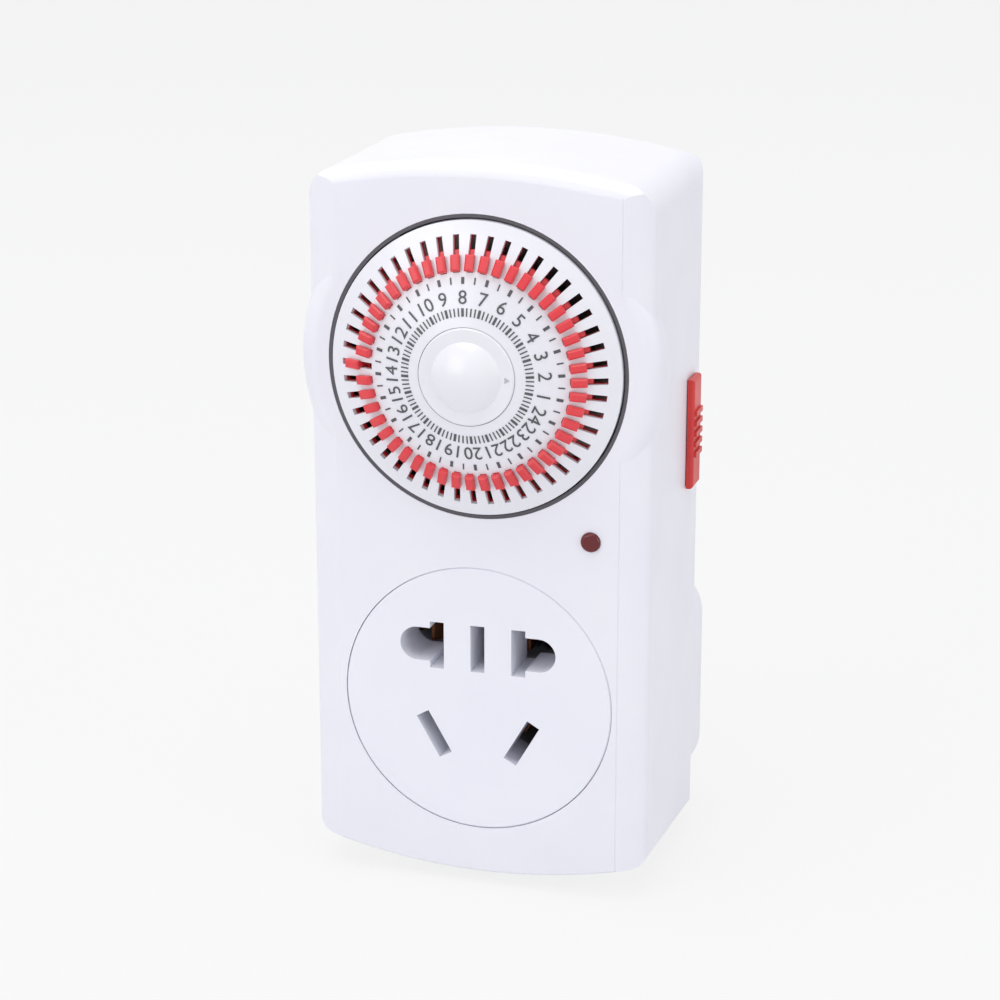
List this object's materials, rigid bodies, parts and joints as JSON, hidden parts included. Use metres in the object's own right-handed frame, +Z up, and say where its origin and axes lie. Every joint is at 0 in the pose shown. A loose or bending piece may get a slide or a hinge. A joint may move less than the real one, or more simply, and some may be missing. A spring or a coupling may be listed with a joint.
{
  "type": "plug-in timer switch",
  "caption": "Plug-in mechanical timer switch: wall plug on the back, five-hole outlet on the front, domed dial ringed by sliding trippers and an override slider.",
  "frame": {"origin": "centre of the plug's pin pattern on the face that meets the wall outlet", "axes": "+X to the right and +Z up as seen from the front, +Y into the wall; the front face looks along -Y"},
  "size_m": [0.0554, 0.0723, 0.1113],
  "materials": {
    "white_abs": "satin moulded ABS",
    "dark_abs": "matt moulded plastic",
    "red_acetal": "satin moulded acetal",
    "red_abs": "satin moulded plastic",
    "lens_red": "polished clear red plastic",
    "led_clear": "clear resin",
    "brass": "drawn brass",
    "copper": "stamped phosphor bronze",
    "block_resin": "moulded thermoset",
    "case_black": "moulded thermoset",
    "acetal_natural": "moulded acetal",
    "steel": "zinc plated",
    "plated_sheet": "rolled and plated sheet",
    "pinion_brass": "cut brass",
    "board_green": "laminate",
    "resistor_body": "lacquered"
  },
  "bodies": {
    "housing": {"front_housing": "white_abs", "rear_housing": "white_abs", "outlet_face": "white_abs", "neutral_pin": "brass", "live_pin": "brass", "earth_pin": "brass", "centre_cap": "white_abs", "contact_block": "block_resin", "live_contact": "copper", "neutral_contact": "copper", "earth_contact": "copper", "pin_block": "block_resin", "neutral_strap": "copper", "earth_strap": "copper", "live_strap": "copper", "switched_strap": "copper", "case_screws": "steel", "dial_bezel": "dark_abs", "spindle": "steel", "wheel_arbor": "steel", "motor_can": "plated_sheet", "motor_lid": "plated_sheet", "movement_front_plate": "plated_sheet", "movement_rear_plate": "plated_sheet", "movement_pillars": "steel", "movement_screws": "steel", "microswitch_case": "case_black", "microswitch_cover": "case_black", "switch_terminals": "brass", "plunger_spring": "steel", "lamp_lens": "lens_red", "lamp_led": "led_clear", "lamp_board": "board_green", "lamp_resistor": "resistor_body"},
    "dial": {"dial_face": "white_abs", "tripper_carrier": "dark_abs", "dial_gear": "acetal_natural", "parked_trippers": "red_acetal"},
    "clutch_wheel": {"clutch_pinion": "acetal_natural", "clutch_washer": "steel", "reduction_wheel": "acetal_natural"},
    "motor_rotor": {"motor_pinion": "pinion_brass", "motor_shaft": "steel"},
    "follower": {"switch_lever": "acetal_natural", "lever_clip": "steel"},
    "plunger": {"plunger": "acetal_natural", "moving_contact": "copper"},
    "override": {"override_slider": "red_abs"},
    "tripper_00_body": {"tripper_00": "red_acetal"},
    "tripper_02_body": {"tripper_02": "red_acetal"},
    "tripper_04_body": {"tripper_04": "red_acetal"},
    "tripper_06_body": {"tripper_06": "red_acetal"},
    "tripper_08_body": {"tripper_08": "red_acetal"},
    "tripper_10_body": {"tripper_10": "red_acetal"},
    "tripper_12_body": {"tripper_12": "red_acetal"},
    "tripper_14_body": {"tripper_14": "red_acetal"},
    "tripper_16_body": {"tripper_16": "red_acetal"},
    "tripper_18_body": {"tripper_18": "red_acetal"},
    "tripper_20_body": {"tripper_20": "red_acetal"},
    "tripper_22_body": {"tripper_22": "red_acetal"}
  },
  "joints": [
    {"name": "dial_turn", "type": "hinge", "parent": "housing", "child": "dial", "pos_m": [0, -0.044, 0.062], "axis": [0, 1, 0], "continuous": true},
    {"name": "wheel_turn", "type": "hinge", "parent": "housing", "child": "clutch_wheel", "pos_m": [-0.01188, -0.036, 0.07388], "axis": [0, 1, 0], "continuous": true},
    {"name": "rotor_turn", "type": "hinge", "parent": "housing", "child": "motor_rotor", "pos_m": [-0.00198, -0.036, 0.07249], "axis": [0, 1, 0], "continuous": true},
    {"name": "follower_swing", "type": "hinge", "parent": "housing", "child": "follower", "pos_m": [0.006, -0.0379, 0.0425], "axis": [0, 1, 0], "range_deg": [0, 4.5], "stiffness_Nm_per_rad": 0.0005},
    {"name": "plunger_press", "type": "slide", "parent": "housing", "child": "plunger", "axis": [0, 0, -1], "range_m": [0, 0.00047], "stiffness_N_per_m": 50, "deforming": ["plunger_spring"]},
    {"name": "override_slide", "type": "slide", "parent": "housing", "child": "override", "axis": [0, 0, 1], "range_m": [-0.003, 0]},
    {"name": "tripper_00_slide", "type": "slide", "parent": "dial", "child": "tripper_00_body", "axis": [0, 0.35, 0.9367], "range_m": [0, 0.0019]},
    {"name": "tripper_02_slide", "type": "slide", "parent": "dial", "child": "tripper_02_body", "axis": [0.4684, 0.35, 0.8112], "range_m": [0, 0.0019]},
    {"name": "tripper_04_slide", "type": "slide", "parent": "dial", "child": "tripper_04_body", "axis": [0.8112, 0.35, 0.4684], "range_m": [0, 0.0019]},
    {"name": "tripper_06_slide", "type": "slide", "parent": "dial", "child": "tripper_06_body", "axis": [0.9367, 0.35, 0], "range_m": [0, 0.0019]},
    {"name": "tripper_08_slide", "type": "slide", "parent": "dial", "child": "tripper_08_body", "axis": [0.8112, 0.35, -0.4684], "range_m": [0, 0.0019]},
    {"name": "tripper_10_slide", "type": "slide", "parent": "dial", "child": "tripper_10_body", "axis": [0.4684, 0.35, -0.8112], "range_m": [0, 0.0019]},
    {"name": "tripper_12_slide", "type": "slide", "parent": "dial", "child": "tripper_12_body", "axis": [0, 0.35, -0.9367], "range_m": [0, 0.0019]},
    {"name": "tripper_14_slide", "type": "slide", "parent": "dial", "child": "tripper_14_body", "axis": [-0.4684, 0.35, -0.8112], "range_m": [0, 0.0019]},
    {"name": "tripper_16_slide", "type": "slide", "parent": "dial", "child": "tripper_16_body", "axis": [-0.8112, 0.35, -0.4684], "range_m": [0, 0.0019]},
    {"name": "tripper_18_slide", "type": "slide", "parent": "dial", "child": "tripper_18_body", "axis": [-0.9367, 0.35, 0], "range_m": [-0.0019, 0]},
    {"name": "tripper_20_slide", "type": "slide", "parent": "dial", "child": "tripper_20_body", "axis": [-0.8112, 0.35, 0.4684], "range_m": [0, 0.0019]},
    {"name": "tripper_22_slide", "type": "slide", "parent": "dial", "child": "tripper_22_body", "axis": [-0.4684, 0.35, 0.8112], "range_m": [0, 0.0019]}
  ],
  "couplings": [
    {"joint": "wheel_turn", "follows": "dial_turn", "ratio": -6},
    {"joint": "rotor_turn", "follows": "dial_turn", "ratio": 24},
    {"joint": "follower_swing", "follows": "plunger_press", "rad_per_m": 166.67}
  ]
}
